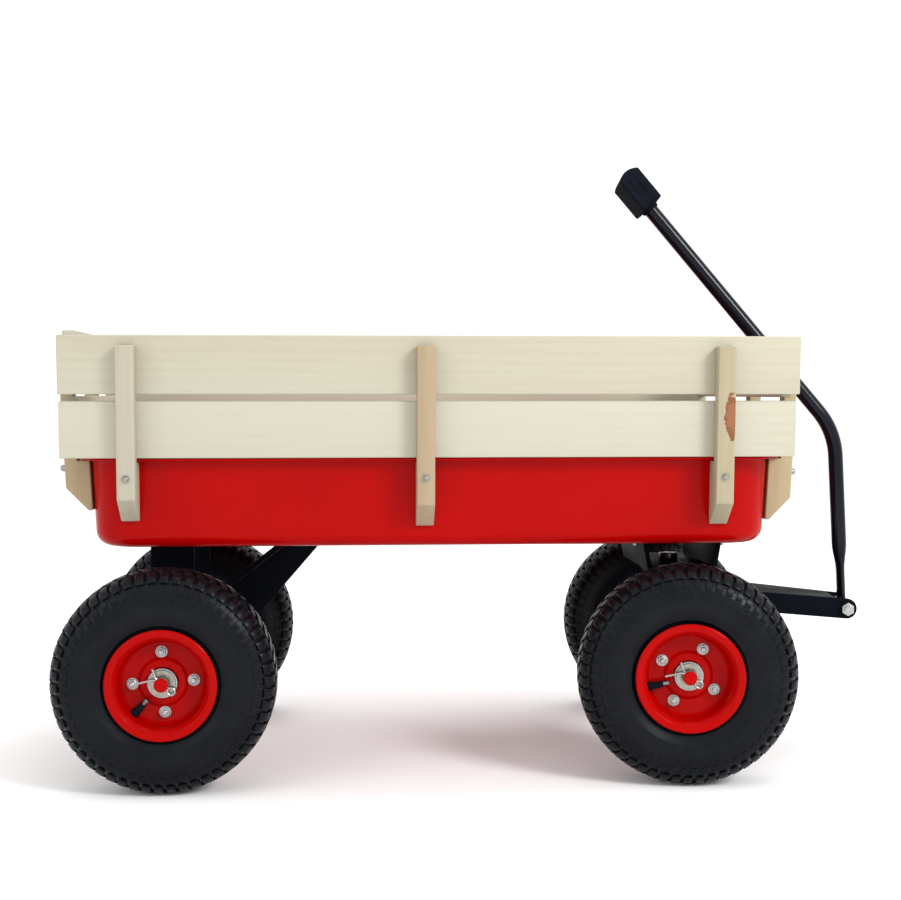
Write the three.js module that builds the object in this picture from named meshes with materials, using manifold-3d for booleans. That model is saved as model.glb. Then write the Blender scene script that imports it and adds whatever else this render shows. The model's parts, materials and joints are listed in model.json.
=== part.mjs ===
// Pull-along garden wagon: a pressed steel tray with bolted timber rails, a fixed rear axle, a steered
// front axle on a king bolt, four pneumatic wheels and a folding pull handle.
// Millimetres, +Z up, +X to the front (the handle end). The wagon's right side is -Y.
import * as THREE from 'three';
import { mergeVertices } from 'three/addons/utils/BufferGeometryUtils.js';
import Module from 'manifold-3d';

const wasm = await Module();
wasm.setup();

// ---- Driving dimensions ----------------------------------------------------------------------------
const GAP = 0.3; // clearance between pieces that touch
const DEG = Math.PI / 180;

const WHEELBASE = 635;
const TRACK = 416;
const TYRE_RADIUS = 130;
const TYRE_WIDTH = 85;
const REST_STEER = -6 * DEG; // the front axle stands slightly turned to the right

const TRAY_X = -2; // tray centre, measured from the middle of the wheelbase
const TRAY_HALF_LENGTH = 407; // outer wall under the flange
const TRAY_HALF_WIDTH = 204;
const TRAY_BOTTOM_Z = 281.5;
const FLANGE_TOP_Z = 386.8;
const FLANGE_WIDTH = 14.5;
const FLANGE_THICKNESS = 3.2;
const TRAY_SHEET = 2;
const TRAY_CORNER = 58;
const TRAY_BOTTOM_RADIUS = 18;
const LEAN = 3 * DEG; // outward lean of the tray walls, stakes and slats

const SLAT_THICKNESS = 12;
const SLAT_LOWER_HEIGHT = 66.5;
const SLAT_UPPER_HEIGHT = 67.5;
const SLAT_GAP = 8;
const SIDE_SLAT_OFFSET = 6; // from the wall line to a slat's inner face
const REAR_SLAT_OFFSET = 1;
const FRONT_SLAT_OFFSET = -3; // the front panel sits closer in, clear of the parked handle
const SIDE_SLAT_X = { lower: [-433, 420], upper: [-434, 424] };
const LEFT_PANEL_LIFT = 9; // a lifted panel has its stakes higher and its lower slats taller
const REAR_PANEL_LIFT = 5.5;
const FRONT_PANEL_LIFT = -4; // lowered, so that the parked handle clears it when steered

const STAKE_WIDTH = 21;
const SIDE_STAKE_DEPTH = 35;
const END_STAKE_DEPTH = 30;
const STAKE_TIP = 5;
const STAKE_POINT_HEIGHT = 28; // height of the slanted cut at the foot
const STAKE_BELOW_FLANGE = 80;
const STAKE_NOTCH = 0.8; // how far the rebate runs on below the flange
const SIDE_STAKE_ABOVE = 130.5;
const SIDE_STAKE_X = [-356, -15.5, 333];
const END_STAKE_Y = [-154, 0, 154];
const END_STAKE_ABOVE = 104;

const AXLE_RADIUS = 7.75;
const AXLE_END = 37; // axle end, outboard of the wheel's middle plane
const COLLAR_RADIUS = 14;
const HUB_RADIUS = 17;
const HUB_SPAN = [-36, 24]; // along the axle from the wheel's middle plane, outboard positive
const WASHER_RADIUS = 15;
const WASHER_THICKNESS = 2.4;
const BRACKET_HALF_WIDTH = 100;
const BRACKET_PLATE = 5;
const LEG_FOOT_Z = 108;
const REAR_BRACKET_X = [-30.5, 22.5]; // measured from the rear axle
const STEERING_BRACKET_X = [-33, 33]; // measured from the front axle
const FRONT_PLATE_FOOT_Z = 165;
const BRACE_Y = 72;
const BRACE_THICKNESS = 8;
const BRACE_FOOT = { low: 148, high: 186, reach: 68 }; // on the rear bracket's front face
const BRACE_HEAD = { from: 145, bend: 179, end: 200, thickness: 5 }; // under the tray floor

const KING_RADIUS = 8;
const KING_HEX = 13; // across the corners, halved
const BOLSTER = { foot: 44, waist: 51, brim: 60, halfWidth: 85 };
const BOLSTER_Z = 236;
const STEER_TOP_Z = 231;
const TONGUE_PLATE = 4;
const TONGUE_HEIGHT = 26;
const TONGUE_HALF_WIDTH = { root: 55, tip: 32 };
const TONGUE_ROOT = { x: 38.5, z: 198.5 }; // middle of the channel's depth, from the king bolt
const HINGE = { x: 229, z: 181 };
const HINGE_PIN_RADIUS = 5;
const HINGE_HEX = 8.5;
const TUBE_RADIUS = 9.5;
const TUBE_WALL = 1.8;
const SLEEVE_RADIUS = 11.5;
const TUBE_BEND = { x: 217.5, z: 412, run: 34 };
const TUBE_TOP = { x: -43, z: 724 };
const GRIP_SOCKET = 20; // how far the tube runs into the grip

// ---- Materials --------------------------------------------------------------------------------------
const finish = (color, roughness, metalness = 0) =>
  new THREE.MeshStandardMaterial({ color, roughness, metalness });
const RED_PAINT = () => finish(0xc40a0a, 0.22);
const BLACK_PAINT = () => finish(0x17171a, 0.3);
const PINE = () => finish(0xdcd8c0, 0.65);
const RUBBER = () => finish(0x202226, 0.8);
const ZINC = () => finish(0xb9bcc0, 0.35, 1);
const BLACK_PLASTIC = () => finish(0x2a2c32, 0.5);

// ---- Solids -----------------------------------------------------------------------------------------
const wagon = new THREE.Group();

function addMesh(parent, name, geometry, material) {
  const mesh = new THREE.Mesh(geometry, material);
  mesh.name = name;
  parent.add(mesh);
  return mesh;
}

function addGroup(parent, { position = [0, 0, 0], rotation = [0, 0, 0] } = {}) {
  const group = new THREE.Group();
  group.position.set(...position);
  group.rotation.set(...rotation);
  parent.add(group);
  return group;
}

function toSolid(geometry) {
  const bare = geometry.clone();
  bare.deleteAttribute('normal');
  bare.deleteAttribute('uv');
  const merged = mergeVertices(bare, 1e-4);
  const vertProperties = new Float32Array(merged.attributes.position.array);
  const triVerts = new Uint32Array(merged.index.array);
  return new wasm.Manifold(new wasm.Mesh({ numProp: 3, vertProperties, triVerts }));
}

function toGeometry(solid) {
  const { vertProperties, triVerts } = solid.getMesh();
  const geometry = new THREE.BufferGeometry();
  geometry.setAttribute('position', new THREE.BufferAttribute(vertProperties, 3));
  geometry.setIndex(new THREE.BufferAttribute(triVerts, 1));
  return geometry;
}

const join = (...parts) => toGeometry(parts.map(toSolid).reduce((a, b) => a.add(b)));
const cut = (body, ...tools) => toGeometry(tools.map(toSolid).reduce((a, b) => a.subtract(b), toSolid(body)));

function shapeOf(points) {
  return new THREE.Shape(points.map(([x, y]) => new THREE.Vector2(x, y)));
}

// A flat outline (x, y) given a thickness along +z.
const plate = (points, depth) =>
  new THREE.ExtrudeGeometry(shapeOf(points), { depth, bevelEnabled: false });

// An outline drawn in (y, z), running along x from x0 to x1.
function alongX(points, x0, x1) {
  const geometry = plate(points, x1 - x0);
  geometry.applyMatrix4(new THREE.Matrix4().makeBasis(
    new THREE.Vector3(0, 1, 0), new THREE.Vector3(0, 0, 1), new THREE.Vector3(1, 0, 0)));
  return geometry.translate(x0, 0, 0);
}

// An outline drawn in (x, z), running along y from y0 to y1.
function alongY(points, y0, y1) {
  return plate(points, y1 - y0).rotateX(Math.PI / 2).translate(0, y1, 0);
}

function rodY(radius, y0, y1, sides = 24) {
  return new THREE.CylinderGeometry(radius, radius, y1 - y0, sides).translate(0, (y0 + y1) / 2, 0);
}

function rodZ(radius, z0, z1, sides = 24) {
  return new THREE.CylinderGeometry(radius, radius, z1 - z0, sides)
    .rotateX(Math.PI / 2).translate(0, 0, (z0 + z1) / 2);
}

// A profile of [radius, y] points turned about the Y axis; a ring profile is closed on itself.
function turned(profile, segments, { ring = false } = {}) {
  const points = profile.map(([radius, y]) => new THREE.Vector2(radius, y));
  if (ring) points.push(points[0].clone());
  return new THREE.LatheGeometry(points, segments);
}

// ---- Tray -------------------------------------------------------------------------------------------
function roundedRing({ inset, z }, cornerSteps = 7) {
  const radius = TRAY_CORNER - inset;
  const centre = [TRAY_HALF_LENGTH - TRAY_CORNER, TRAY_HALF_WIDTH - TRAY_CORNER];
  const corners = [[1, 1], [-1, 1], [-1, -1], [1, -1]];
  return corners.flatMap(([sx, sy], corner) =>
    Array.from({ length: cornerSteps + 1 }, (_, step) => {
      const angle = (corner + step / cornerSteps) * Math.PI / 2;
      return [sx * centre[0] + radius * Math.cos(angle), sy * centre[1] + radius * Math.sin(angle), z];
    }));
}

// Rings of equal count joined into one closed skin, with a flat face over the first and last ring.
function skinOver(rings) {
  const count = rings[0].length;
  const index = [];
  for (let r = 0; r < rings.length - 1; r++) {
    for (let i = 0; i < count; i++) {
      const next = (i + 1) % count;
      const [a, b, c, d] = [r * count + i, r * count + next, (r + 1) * count + next, (r + 1) * count + i];
      index.push(a, b, c, a, c, d);
    }
  }
  const last = (rings.length - 1) * count;
  for (let i = 1; i < count - 1; i++) {
    index.push(0, i + 1, i, last, last + i, last + i + 1);
  }
  const geometry = new THREE.BufferGeometry();
  geometry.setAttribute('position', new THREE.Float32BufferAttribute(rings.flat(2), 3));
  geometry.setIndex(index);
  return geometry;
}

// The wall line as [inset, z] from the bottom up, for a sheet surface that lies offset inside the wall.
function wallLine(offset, steps = 5) {
  const radius = TRAY_BOTTOM_RADIUS - offset;
  const floorZ = TRAY_BOTTOM_Z + offset;
  const bendTopZ = TRAY_BOTTOM_Z + TRAY_BOTTOM_RADIUS;
  const wallTopZ = FLANGE_TOP_Z - FLANGE_THICKNESS;
  const bendInset = (wallTopZ - bendTopZ) * Math.tan(LEAN);
  const bend = Array.from({ length: steps + 1 }, (_, step) => {
    const angle = step / steps * Math.PI / 2;
    return {
      inset: bendInset + offset + radius * (1 - Math.sin(angle)),
      z: floorZ + radius * (1 - Math.cos(angle)),
    };
  });
  return [...bend, { inset: offset, z: offset ? FLANGE_TOP_Z : wallTopZ }];
}

function buildTray() {
  const outside = wallLine(0);
  const inside = wallLine(TRAY_SHEET).reverse();
  const flange = [
    { inset: -FLANGE_WIDTH, z: FLANGE_TOP_Z - FLANGE_THICKNESS },
    { inset: -FLANGE_WIDTH, z: FLANGE_TOP_Z },
  ];
  const rings = [...outside, ...flange, ...inside].map((line) => roundedRing(line));
  const mesh = addMesh(wagon, 'tray', skinOver(rings), RED_PAINT());
  mesh.position.x = TRAY_X;
}

// ---- Timber rails -----------------------------------------------------------------------------------
// A panel's own frame: x along the panel, y outward from the tray wall, z up the leaning panel.
function panelFrame(turn, wallDistance, lift) {
  const facing = addGroup(wagon, { position: [TRAY_X, 0, 0], rotation: [0, 0, turn] });
  const wallAtPivot = wallDistance + (FLANGE_THICKNESS + lift) * Math.tan(LEAN);
  return addGroup(facing, { position: [0, wallAtPivot, FLANGE_TOP_Z + lift], rotation: [-LEAN, 0, 0] });
}

// A board seen in (x, z), with its faces at y0 and y0 + thickness; flare widens the ends with height.
function board({ x0, x1, z0, z1, y0, flare }) {
  const outline = [
    [x0 - flare * z0, z0], [x1 + flare * z0, z0], [x1 + flare * z1, z1], [x0 - flare * z1, z1],
  ];
  return alongY(outline, y0, y0 + SLAT_THICKNESS);
}

// spans gives each row's ends along the panel.
function addSlats(panel, side, { spans, y0, flare, lift }) {
  const foot = (y0 + SLAT_THICKNESS) * Math.tan(LEAN) + GAP;
  const upperFoot = SLAT_LOWER_HEIGHT + SLAT_GAP;
  const rows = {
    lower: [foot - lift, SLAT_LOWER_HEIGHT],
    upper: [upperFoot, upperFoot + SLAT_UPPER_HEIGHT],
  };
  for (const [row, [z0, z1]] of Object.entries(rows)) {
    const [x0, x1] = spans[row];
    addMesh(panel, `${side}_slat_${row}`, board({ x0, x1, z0, z1, y0, flare }), PINE());
  }
}

// A stake is bolted to the wall below the flange and rebated over the flange and the slats.
function addStake(panel, name, { x, depth, above, slatOuter, lift }) {
  const rebate = Math.max(slatOuter, FLANGE_WIDTH) + 2 * GAP;
  const notchZ = -FLANGE_THICKNESS - lift - STAKE_NOTCH;
  const foot = -STAKE_BELOW_FLANGE;
  const profile = [
    [GAP, foot], [GAP + STAKE_TIP, foot], [depth, foot + STAKE_POINT_HEIGHT],
    [depth, above], [rebate, above], [rebate, notchZ], [GAP, notchZ],
  ];
  addMesh(panel, name, alongX(profile, x - STAKE_WIDTH / 2, x + STAKE_WIDTH / 2), PINE());
}

function buildSidePanel(side, sign, lift) {
  const panel = panelFrame(sign > 0 ? 0 : Math.PI, TRAY_HALF_WIDTH, lift);
  const alongPanel = (xs) => xs.map((x) => sign * (x - TRAY_X)).sort((a, b) => a - b);
  const spans = { lower: alongPanel(SIDE_SLAT_X.lower), upper: alongPanel(SIDE_SLAT_X.upper) };
  addSlats(panel, side, { spans, y0: SIDE_SLAT_OFFSET, flare: 0, lift });
  const places = ['rear', 'middle', 'front'];
  const stake = {
    depth: SIDE_STAKE_DEPTH, above: SIDE_STAKE_ABOVE, slatOuter: SIDE_SLAT_OFFSET + SLAT_THICKNESS, lift,
  };
  SIDE_STAKE_X.forEach((x, i) => {
    addStake(panel, `${side}_stake_${places[i]}`, { x: sign * (x - TRAY_X), ...stake });
  });
}

function buildEndPanel(end, sign, slatOffset, lift) {
  const panel = panelFrame(-sign * Math.PI / 2, TRAY_HALF_LENGTH, lift);
  const half = TRAY_HALF_WIDTH + SIDE_SLAT_OFFSET - 2 * GAP;
  const spans = { lower: [-half, half], upper: [-half, half] };
  addSlats(panel, end, { spans, y0: slatOffset, flare: Math.tan(LEAN), lift });
  const places = sign > 0 ? ['left', 'middle', 'right'] : ['right', 'middle', 'left'];
  const stake = {
    depth: END_STAKE_DEPTH, above: END_STAKE_ABOVE, slatOuter: slatOffset + SLAT_THICKNESS, lift,
  };
  END_STAKE_Y.forEach((y, i) => {
    addStake(panel, `${end}_stake_${places[i]}`, { x: y, ...stake });
  });
}

// ---- Wheels -----------------------------------------------------------------------------------------
// Profiles are [radius, y], y outboard from the wheel's middle plane.
const HUB_BORE = AXLE_RADIUS + GAP;
const RIM_BORE = HUB_RADIUS + GAP;

const TYRE_HALF_OUTSIDE = [
  [53.4, 33.5], [58, 37.3], [66, 39.4], [80, 42.2], [96, TYRE_WIDTH / 2], [115, 38.5], [125.5, 29],
  [TYRE_RADIUS, 12],
];
const TYRE_HALF_INSIDE = [[121, 12], [113, 31], [88, 36], [54, 27]];
const RIM_OUTER_PROFILE = [
  [RIM_BORE, 12.15], [48, 12.15], [51, 15.5], [53, 34], [56.5, 38], [63, 39], [63, 41], [55.5, 40.2],
  [51, 35.2], [49, 17], [47, 14.15], [RIM_BORE, 14.15],
];
const RIM_INNER_PROFILE = [
  [RIM_BORE, 9.85], [47, 9.85], [51, 6], [51, -35.2], [55.5, -40.2], [63, -41], [63, -39],
  [56.5, -38], [53, -34], [53, 7.5], [48.5, 11.85], [RIM_BORE, 11.85],
];
const HUB_PROFILE = [
  [HUB_BORE, HUB_SPAN[0]], [HUB_RADIUS, HUB_SPAN[0]], [HUB_RADIUS, HUB_SPAN[1]], [HUB_BORE, HUB_SPAN[1]],
];

const mirrored = (profile) => profile.map(([radius, y]) => [radius, -y]).reverse();

function tyreGeometry() {
  const profile = [
    ...TYRE_HALF_OUTSIDE, ...mirrored(TYRE_HALF_OUTSIDE), ...mirrored([...TYRE_HALF_INSIDE].reverse()),
    ...[...TYRE_HALF_INSIDE].reverse(),
  ];
  return turned(profile.reverse(), 32, { ring: true });
}

function valveGeometry() {
  const [from, to] = [new THREE.Vector3(45, 20.5, 0), new THREE.Vector3(24, 27.5, 0)];
  const along = new THREE.Vector3().subVectors(to, from);
  const middle = new THREE.Vector3().addVectors(from, to).multiplyScalar(0.5);
  const turn = new THREE.Quaternion().setFromUnitVectors(new THREE.Vector3(0, 1, 0), along.clone().normalize());
  return new THREE.CylinderGeometry(2.4, 3.2, along.length(), 10)
    .applyQuaternion(turn).translate(middle.x, middle.y, middle.z);
}

function washerGeometry() {
  const inner = HUB_SPAN[1] + GAP;
  const outer = inner + WASHER_THICKNESS;
  const profile = [[HUB_BORE, inner], [WASHER_RADIUS, inner], [WASHER_RADIUS, outer], [HUB_BORE, outer]];
  return turned(profile, 20, { ring: true });
}

function buildWheel(parent, corner, sign, valveAngle) {
  const place = addGroup(parent, {
    position: [0, sign * TRACK / 2, TYRE_RADIUS],
    rotation: [sign > 0 ? 0 : Math.PI, 0, 0],
  });
  const spin = addGroup(place, { rotation: [0, valveAngle, 0] });
  addMesh(spin, `${corner}_tyre`, tyreGeometry(), RUBBER());
  addMesh(spin, `${corner}_rim_outer`, turned(RIM_OUTER_PROFILE, 24, { ring: true }), RED_PAINT());
  addMesh(spin, `${corner}_rim_inner`, turned(RIM_INNER_PROFILE, 24, { ring: true }), RED_PAINT());
  addMesh(spin, `${corner}_hub`, turned(HUB_PROFILE, 20, { ring: true }), ZINC());
  addMesh(spin, `${corner}_valve_stem`, valveGeometry(), BLACK_PLASTIC());
  addMesh(place, `${corner}_axle_washer`, washerGeometry(), ZINC());
}

// ---- Axles and brackets -----------------------------------------------------------------------------
function axleGeometry() {
  const end = TRACK / 2 + AXLE_END;
  const collarOut = TRACK / 2 + HUB_SPAN[0] - GAP;
  const collarIn = BRACKET_HALF_WIDTH + GAP;
  const half = [
    [AXLE_RADIUS, collarIn], [COLLAR_RADIUS, collarIn], [COLLAR_RADIUS, collarOut],
    [AXLE_RADIUS, collarOut], [AXLE_RADIUS, end], [0, end],
  ];
  return turned([...mirrored(half), ...half], 20).translate(0, 0, TYRE_RADIUS);
}

// An inverted U bent from plate, seen in (y, z) and running along x, with the axle bored through its legs.
function saddleGeometry([x0, x1], topZ) {
  const [outer, inner] = [BRACKET_HALF_WIDTH, BRACKET_HALF_WIDTH - BRACKET_PLATE];
  const roof = topZ - BRACKET_PLATE;
  const section = [
    [-outer, LEG_FOOT_Z], [-inner, LEG_FOOT_Z], [-inner, roof], [inner, roof],
    [inner, LEG_FOOT_Z], [outer, LEG_FOOT_Z], [outer, topZ], [-outer, topZ],
  ];
  const bore = rodY(AXLE_RADIUS + GAP, -outer - 5, outer + 5, 20).translate(0, 0, TYRE_RADIUS);
  return cut(alongX(section, x0, x1), bore);
}

// A flat gusset from the rear bracket's front face up to a foot bolted under the tray floor.
function braceGeometry() {
  const back = REAR_BRACKET_X[1] + GAP;
  const top = TRAY_BOTTOM_Z - GAP;
  const underside = top - BRACE_HEAD.thickness;
  const outline = [
    [back, BRACE_FOOT.low], [BRACE_FOOT.reach, BRACE_FOOT.low], [BRACE_HEAD.bend, underside],
    [BRACE_HEAD.end, underside], [BRACE_HEAD.end, top], [BRACE_HEAD.from, top], [back, BRACE_FOOT.high],
  ];
  return alongY(outline, -BRACE_THICKNESS / 2, BRACE_THICKNESS / 2);
}

function buildRearAxle() {
  const rear = addGroup(wagon, { position: [-WHEELBASE / 2, 0, 0] });
  addMesh(rear, 'rear_bracket', saddleGeometry(REAR_BRACKET_X, TRAY_BOTTOM_Z - GAP), BLACK_PAINT());
  for (const [side, y] of [['left', BRACE_Y], ['right', -BRACE_Y]]) {
    const brace = addMesh(rear, `rear_brace_${side}`, braceGeometry(), BLACK_PAINT());
    brace.position.y = y;
  }
  addMesh(rear, 'rear_axle', axleGeometry(), ZINC());
  buildWheel(rear, 'rear_right', -1, 228 * DEG);
  buildWheel(rear, 'rear_left', 1, 70 * DEG);
}

// The bolster is a pressed channel, open upward, with flanges bolted under the tray floor.
function bolsterGeometry() {
  const top = TRAY_BOTTOM_Z - GAP;
  const t = BRACKET_PLATE;
  const { foot, waist, brim, halfWidth } = BOLSTER;
  const section = [
    [-foot, BOLSTER_Z], [foot, BOLSTER_Z], [waist, top - t], [brim, top - t], [brim, top],
    [waist - t, top], [foot - t, BOLSTER_Z + t], [-foot + t, BOLSTER_Z + t], [-waist + t, top],
    [-brim, top], [-brim, top - t], [-waist, top - t],
  ];
  const bore = rodZ(KING_RADIUS + GAP, BOLSTER_Z - 5, BOLSTER_Z + 15);
  return cut(alongY(section, -halfWidth, halfWidth), bore);
}

function kingBoltGeometry() {
  const headFoot = BOLSTER_Z + BRACKET_PLATE + GAP;
  const nutTop = STEER_TOP_Z - BRACKET_PLATE - GAP;
  const shank = rodZ(KING_RADIUS, nutTop - 16, headFoot + 4);
  const head = rodZ(KING_HEX, headFoot, headFoot + 9, 6);
  const nut = rodZ(KING_HEX, nutTop - 11, nutTop, 6);
  return join(shank, head, nut);
}

function thrustWasherGeometry() {
  const disc = rodZ(32, STEER_TOP_Z + GAP, BOLSTER_Z - GAP, 32);
  return cut(disc, rodZ(KING_RADIUS + GAP, STEER_TOP_Z - 5, BOLSTER_Z + 5));
}

function steeringBracketGeometry() {
  const face = STEERING_BRACKET_X[1];
  const halfWidth = BRACKET_HALF_WIDTH - BRACKET_PLATE / 2;
  const plateTop = STEER_TOP_Z - BRACKET_PLATE / 2;
  const frontPlate = alongX([
    [-halfWidth, FRONT_PLATE_FOOT_Z], [halfWidth, FRONT_PLATE_FOOT_Z], [halfWidth, plateTop],
    [-halfWidth, plateTop],
  ], face - BRACKET_PLATE, face);
  const bore = rodZ(KING_RADIUS + GAP, STEER_TOP_Z - 20, STEER_TOP_Z + 10);
  return cut(join(saddleGeometry(STEERING_BRACKET_X, STEER_TOP_Z), frontPlate), bore);
}

// ---- Tongue and handle ------------------------------------------------------------------------------
// An inverted channel that tapers from the steering bracket to the hinge, where its ears are rounded.
function tongueGeometry() {
  const { root, tip } = TONGUE_HALF_WIDTH;
  const slope = Math.atan2(HINGE.z - TONGUE_ROOT.z, HINGE.x - TONGUE_ROOT.x);
  const reach = Math.hypot(HINGE.x - TONGUE_ROOT.x, HINGE.z - TONGUE_ROOT.z);
  const half = TONGUE_HEIGHT / 2;
  const plan = (inset, x0, x1) => {
    const widthAt = (x) => root + (tip - root) * x / reach - inset;
    return [[x0, -widthAt(x0)], [x1, -widthAt(x1)], [x1, widthAt(x1)], [x0, widthAt(x0)]];
  };
  const block = plate(plan(0, 0, reach + half), TONGUE_HEIGHT).translate(0, 0, -half);
  const hollow = plate(plan(TONGUE_PLATE, -5, reach + 2 * half), TONGUE_HEIGHT)
    .translate(0, 0, -half - TONGUE_PLATE);
  const mouth = new THREE.BoxGeometry(60, 2 * (tip - TONGUE_PLATE), 60).translate(reach + 30 - 16, 0, 0);
  const noseOff = cut(
    new THREE.BoxGeometry(2 * half, 3 * tip, 2 * TONGUE_HEIGHT).translate(reach + half, 0, 0),
    rodY(half, -2 * tip, 2 * tip, 32).translate(reach, 0, 0));
  const pinBore = rodY(HINGE_PIN_RADIUS + GAP, -2 * tip, 2 * tip, 20).translate(reach, 0, 0);
  return cut(block, hollow, mouth, noseOff, pinBore)
    .rotateY(-slope).translate(TONGUE_ROOT.x, 0, TONGUE_ROOT.z);
}

function hingeBoltGeometry() {
  const outer = TONGUE_HALF_WIDTH.tip + 1;
  const shank = rodY(HINGE_PIN_RADIUS, -outer - 8, outer + 4, 20);
  const head = rodY(HINGE_HEX, outer, outer + 5, 6);
  const nut = rodY(HINGE_HEX, -outer - 6, -outer, 6);
  return join(shank, head, nut).translate(HINGE.x, 0, HINGE.z);
}

function tubePath(runOut) {
  const foot = new THREE.Vector3(HINGE.x, 0, HINGE.z);
  const bend = new THREE.Vector3(TUBE_BEND.x, 0, TUBE_BEND.z);
  const top = new THREE.Vector3(TUBE_TOP.x, 0, TUBE_TOP.z);
  const toBend = new THREE.Vector3().subVectors(bend, foot).normalize();
  const toTop = new THREE.Vector3().subVectors(top, bend).normalize();
  const bendStart = bend.clone().addScaledVector(toBend, -TUBE_BEND.run);
  const bendEnd = bend.clone().addScaledVector(toTop, TUBE_BEND.run);
  const path = new THREE.CurvePath();
  path.add(new THREE.LineCurve3(foot.clone().addScaledVector(toBend, SLEEVE_RADIUS - 3.5), bendStart));
  path.add(new THREE.QuadraticBezierCurve3(bendStart, bend, bendEnd));
  path.add(new THREE.LineCurve3(bendEnd, top.clone().addScaledVector(toTop, runOut)));
  return path;
}

function roundSection(radius, sides) {
  const points = Array.from({ length: sides }, (_, i) => {
    const angle = i / sides * 2 * Math.PI;
    return [radius * Math.cos(angle), radius * Math.sin(angle)];
  });
  return shapeOf(points);
}

const sweep = (radius, path, steps = 22) =>
  new THREE.ExtrudeGeometry(roundSection(radius, 12), { steps, extrudePath: path });

function handleTubeGeometry() {
  const halfSleeve = TONGUE_HALF_WIDTH.tip - TONGUE_PLATE - 1;
  const sleeve = rodY(SLEEVE_RADIUS, -halfSleeve, halfSleeve).translate(HINGE.x, 0, HINGE.z);
  const pinBore = rodY(HINGE_PIN_RADIUS + GAP, -halfSleeve - 5, halfSleeve + 5, 20)
    .translate(HINGE.x, 0, HINGE.z);
  const hollow = sweep(TUBE_RADIUS - TUBE_WALL, tubePath(10));
  return cut(join(sweep(TUBE_RADIUS, tubePath(0)), sleeve), hollow, pinBore);
}

// The grip is a moulded cross bar on a short neck; its own frame has z along the tube's upper run.
function gripGeometry() {
  const [halfBar, barDepth, barFoot, barHead, crown] = [52, 20.5, -4, 38, 47];
  const bar = alongX([
    [-halfBar, barFoot + 7], [-halfBar + 7, barFoot], [halfBar - 7, barFoot], [halfBar, barFoot + 7],
    [halfBar, barHead - 6], [halfBar * 0.6, barHead + 4], [0, crown], [-halfBar * 0.6, barHead + 4],
    [-halfBar, barHead - 6],
  ], -barDepth, barDepth);
  const neck = rodZ(16, -14, barFoot + 5, 20);
  const socket = rodZ(TUBE_RADIUS + GAP, -GRIP_SOCKET, GRIP_SOCKET + GAP);
  return cut(join(bar, neck), socket);
}

function buildHandle(steered) {
  addMesh(steered, 'tongue', tongueGeometry(), BLACK_PAINT());
  addMesh(steered, 'hinge_bolt', hingeBoltGeometry(), ZINC());
  addMesh(steered, 'handle_tube', handleTubeGeometry(), BLACK_PAINT());
  const tilt = Math.atan2(TUBE_TOP.x - TUBE_BEND.x, TUBE_TOP.z - TUBE_BEND.z);
  const along = new THREE.Vector3(Math.sin(tilt), 0, Math.cos(tilt)).multiplyScalar(-GRIP_SOCKET);
  const grip = addMesh(steered, 'handle_grip', gripGeometry(), BLACK_PLASTIC());
  grip.position.set(TUBE_TOP.x + along.x, 0, TUBE_TOP.z + along.z);
  grip.rotation.y = tilt;
}

function buildFrontAxle() {
  const front = addGroup(wagon, { position: [WHEELBASE / 2, 0, 0] });
  addMesh(front, 'front_bolster', bolsterGeometry(), BLACK_PAINT());
  addMesh(front, 'king_bolt', kingBoltGeometry(), ZINC());
  addMesh(front, 'thrust_washer', thrustWasherGeometry(), ZINC());
  const steered = addGroup(front, { rotation: [0, 0, REST_STEER] });
  addMesh(steered, 'steering_bracket', steeringBracketGeometry(), BLACK_PAINT());
  addMesh(steered, 'front_axle', axleGeometry(), ZINC());
  buildWheel(steered, 'front_right', -1, 196 * DEG);
  buildWheel(steered, 'front_left', 1, 310 * DEG);
  buildHandle(steered);
}

// ---- Assembly ---------------------------------------------------------------------------------------
buildTray();
buildSidePanel('left', 1, LEFT_PANEL_LIFT);
buildSidePanel('right', -1, 0);
buildEndPanel('front', 1, FRONT_SLAT_OFFSET, FRONT_PANEL_LIFT);
buildEndPanel('rear', -1, REAR_SLAT_OFFSET, REAR_PANEL_LIFT);
buildRearAxle();
buildFrontAxle();

// The origin is the middle of the footprint, on the ground.
wagon.updateMatrixWorld(true);
const box = new THREE.Box3().setFromObject(wagon, true);
wagon.position.set(-(box.min.x + box.max.x) / 2, -(box.min.y + box.max.y) / 2, -box.min.z);

export default wagon;
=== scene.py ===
"""The looks of a pull-along garden wagon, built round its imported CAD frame.

Shapes are written in millimetres, +X to the handle end, +Z up, and become metres when an object is made.
A "shell" is a pair (points, faces). A "place" is a matrix in millimetres, in the row frame.
"""

import json
import math

import bmesh
import bpy
from mathutils import Matrix, Vector


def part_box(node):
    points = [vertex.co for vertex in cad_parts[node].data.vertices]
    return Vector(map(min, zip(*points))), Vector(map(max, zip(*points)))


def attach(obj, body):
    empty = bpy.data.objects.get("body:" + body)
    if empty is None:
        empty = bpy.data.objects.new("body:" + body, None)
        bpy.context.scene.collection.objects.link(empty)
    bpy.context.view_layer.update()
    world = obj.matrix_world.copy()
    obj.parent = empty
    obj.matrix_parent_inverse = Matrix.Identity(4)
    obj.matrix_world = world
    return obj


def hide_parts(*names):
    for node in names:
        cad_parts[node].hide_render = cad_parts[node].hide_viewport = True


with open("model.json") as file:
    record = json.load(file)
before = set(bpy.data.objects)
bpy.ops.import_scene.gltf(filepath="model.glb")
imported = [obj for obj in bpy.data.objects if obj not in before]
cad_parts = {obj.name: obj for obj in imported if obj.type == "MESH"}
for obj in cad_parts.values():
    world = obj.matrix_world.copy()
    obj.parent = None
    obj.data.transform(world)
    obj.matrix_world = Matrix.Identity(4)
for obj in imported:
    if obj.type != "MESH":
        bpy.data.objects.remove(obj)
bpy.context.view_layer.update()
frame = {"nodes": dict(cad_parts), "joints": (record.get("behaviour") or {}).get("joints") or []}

# ---- Places ----------------------------------------------------------------------------------------
MM = 0.001
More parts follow.
